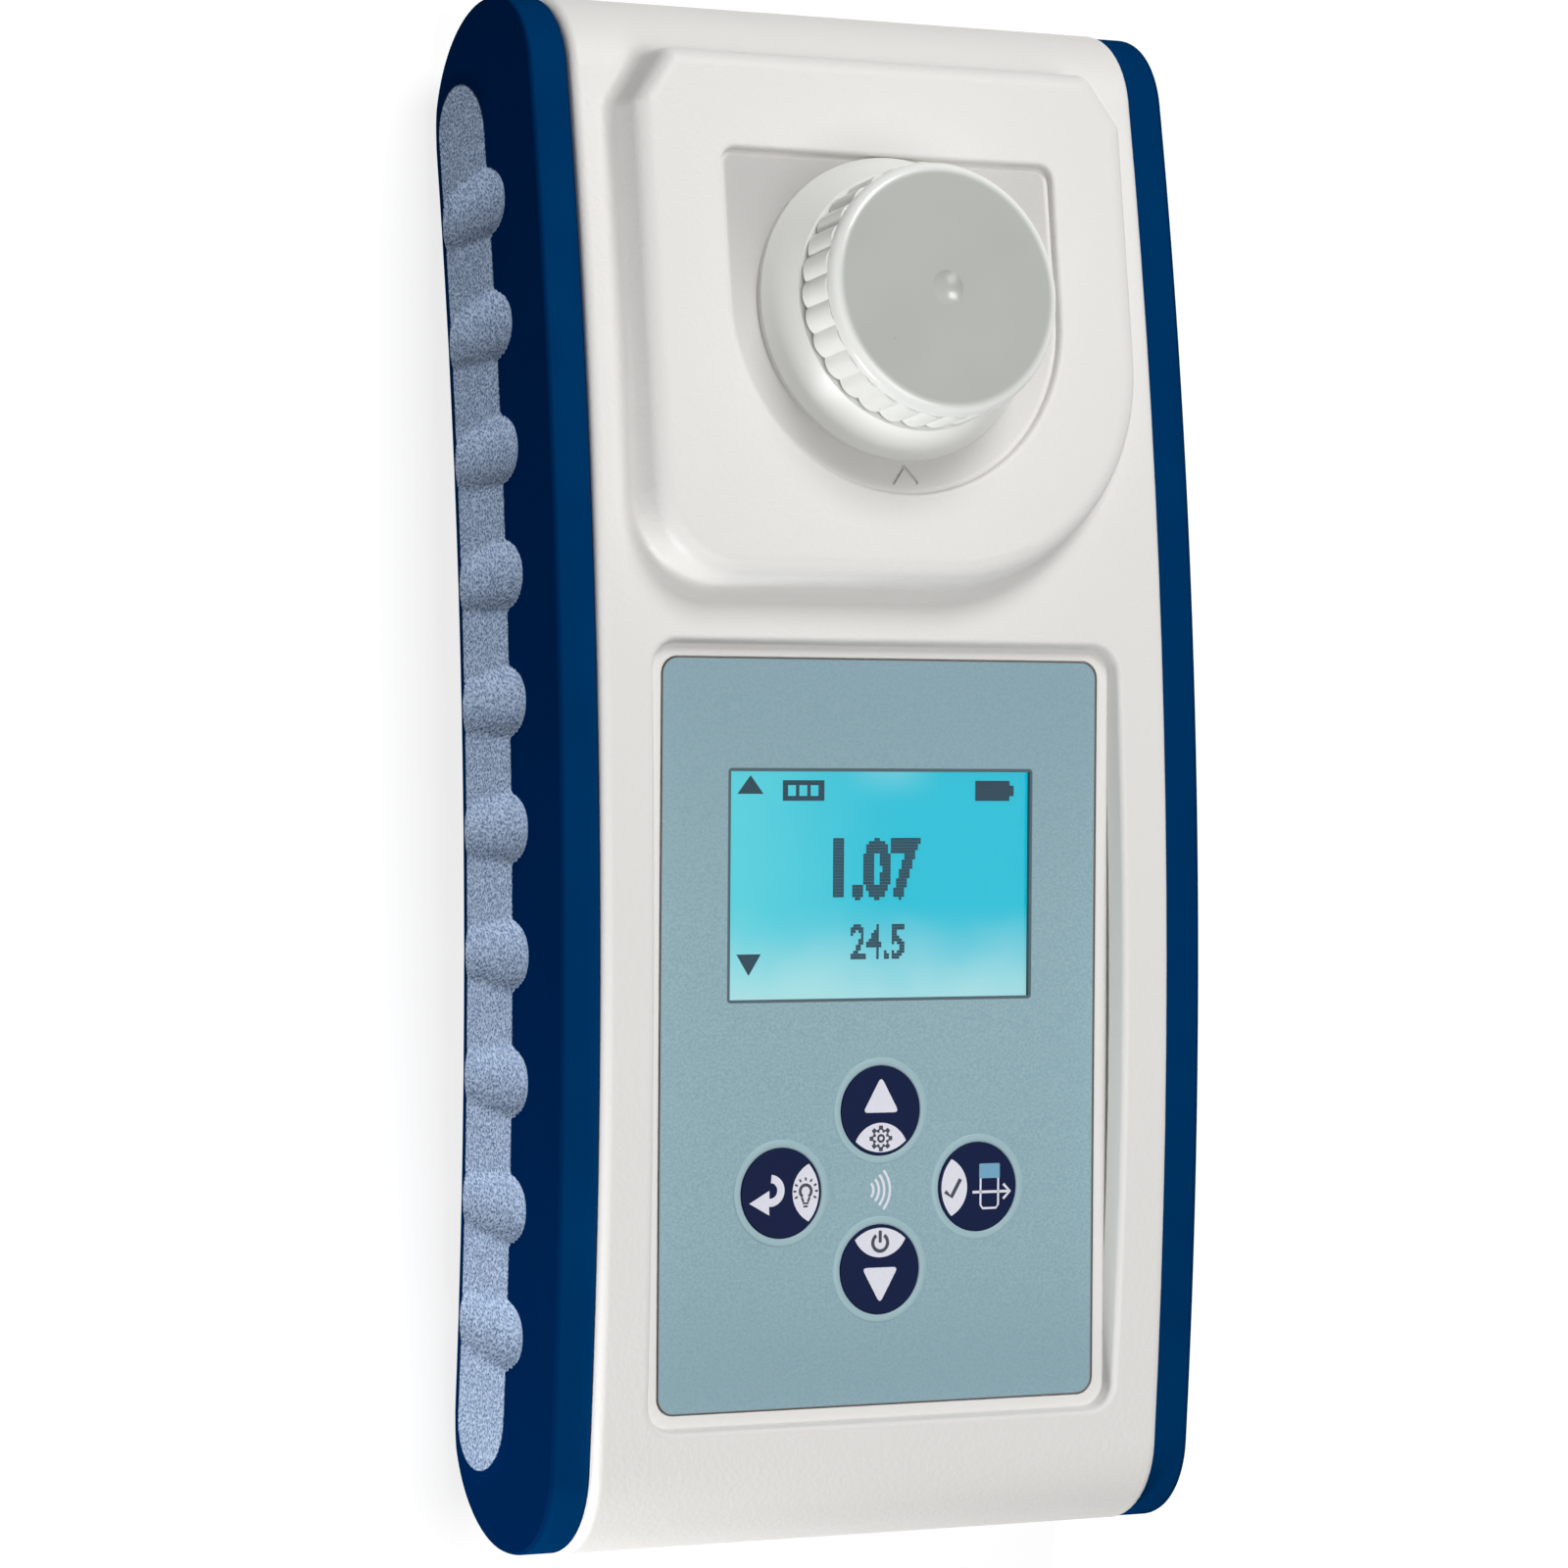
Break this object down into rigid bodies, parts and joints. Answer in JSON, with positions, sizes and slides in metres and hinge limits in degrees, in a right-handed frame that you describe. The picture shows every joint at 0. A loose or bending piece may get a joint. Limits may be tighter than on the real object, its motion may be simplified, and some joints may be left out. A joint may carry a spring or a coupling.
{
  "type": "pool photometer",
  "caption": "Handheld water photometer: arched two-part case with navy side grips, keypad panel with display, capped sample vial in a well on the raised head.",
  "frame": {"origin": "on the table under the middle of the body, which lies on its back", "axes": "+X across the body to its right side, +Y along the body towards the sample well, +Z out of the front"},
  "size_m": [0.075, 0.1584, 0.0443],
  "materials": {
    "white_plastic": "fine grained, satin",
    "cap_white": "smooth, glossy",
    "navy_grip": "soft touch, textured strip",
    "foil": "fine matt film",
    "key_navy": "satin film",
    "clear_window": "clear",
    "display": "liquid crystal glass",
    "light_guide": "milky",
    "black_plastic": "moulded black",
    "board": "solder mask",
    "steel": "plated",
    "spring_steel": "nickel plated",
    "seal_rubber": "soft",
    "foot_rubber": "soft",
    "vial": "clear borosilicate",
    "liner": "foam",
    "filter": "coated glass",
    "cell_wrap": "printed sleeve"
  },
  "bodies": {
    "housing": {"front_shell": "white_plastic", "rear_shell": "white_plastic", "left_grip": "navy_grip", "right_grip": "navy_grip", "housing_seal": "seal_rubber", "keypad_foil": "foil", "key_switches": "black_plastic", "display_window": "clear_window", "display_glass": "display", "backlight": "light_guide", "display_frame": "black_plastic", "circuit_board": "board", "board_screws": "steel", "data_module": "steel", "chamber_collar": "white_plastic", "chamber_block": "black_plastic", "chamber_screws": "steel", "light_source": "light_guide", "filter_disc": "filter", "detector": "black_plastic", "battery_cells": "cell_wrap", "contact_plates": "spring_steel", "contact_springs": "spring_steel", "housing_screws": "steel", "feet": "foot_rubber"},
    "key_up": {"key_up": "key_navy"},
    "key_back": {"key_back": "key_navy"},
    "key_test": {"key_test": "key_navy"},
    "key_down": {"key_down": "key_navy"},
    "seal_ring": {"light_seal": "seal_rubber"},
    "vial": {"vial_glass": "vial"},
    "liner": {"cap_liner": "liner"},
    "cap": {"vial_cap": "cap_white"},
    "lid": {"battery_lid": "white_plastic", "lid_seal": "seal_rubber", "lid_screws": "steel"}
  },
  "joints": [
    {"name": "vial_lift", "type": "slide", "parent": "housing", "child": "seal_ring", "axis": [0, 0.087, 0.9962], "range_m": [0, 0.045]},
    {"name": "vial_turn", "type": "hinge", "parent": "seal_ring", "child": "vial", "pos_m": [0, 0.04666, 0.03237], "axis": [0, 0.087, 0.9962], "continuous": true},
    {"name": "cap_rise", "type": "slide", "parent": "vial", "child": "liner", "axis": [0, 0.087, 0.9962], "range_m": [0, 0.0045]},
    {"name": "cap_turn", "type": "hinge", "parent": "liner", "child": "cap", "pos_m": [0, 0.04666, 0.03237], "axis": [0, 0.087, 0.9962], "range_deg": [0, 541]},
    {"name": "lid_off", "type": "slide", "parent": "housing", "child": "lid", "axis": [0, 0.0512, -0.9987], "range_m": [0, 0.03]},
    {"name": "key_up_press", "type": "slide", "parent": "housing", "child": "key_up", "axis": [0, 0.0512, -0.9987], "range_m": [0, 0.0004], "stiffness_N_per_m": 1500, "springref_m": -0.0003},
    {"name": "key_back_press", "type": "slide", "parent": "housing", "child": "key_back", "axis": [0, 0.0512, -0.9987], "range_m": [0, 0.0004], "stiffness_N_per_m": 1500, "springref_m": -0.0003},
    {"name": "key_test_press", "type": "slide", "parent": "housing", "child": "key_test", "axis": [0, 0.0512, -0.9987], "range_m": [0, 0.0004], "stiffness_N_per_m": 1500, "springref_m": -0.0003},
    {"name": "key_down_press", "type": "slide", "parent": "housing", "child": "key_down", "axis": [0, 0.0512, -0.9987], "range_m": [0, 0.0004], "stiffness_N_per_m": 1500, "springref_m": -0.0003}
  ],
  "couplings": [
    {"joint": "cap_turn", "follows": "cap_rise", "rad_per_m": 2094.4}
  ]
}
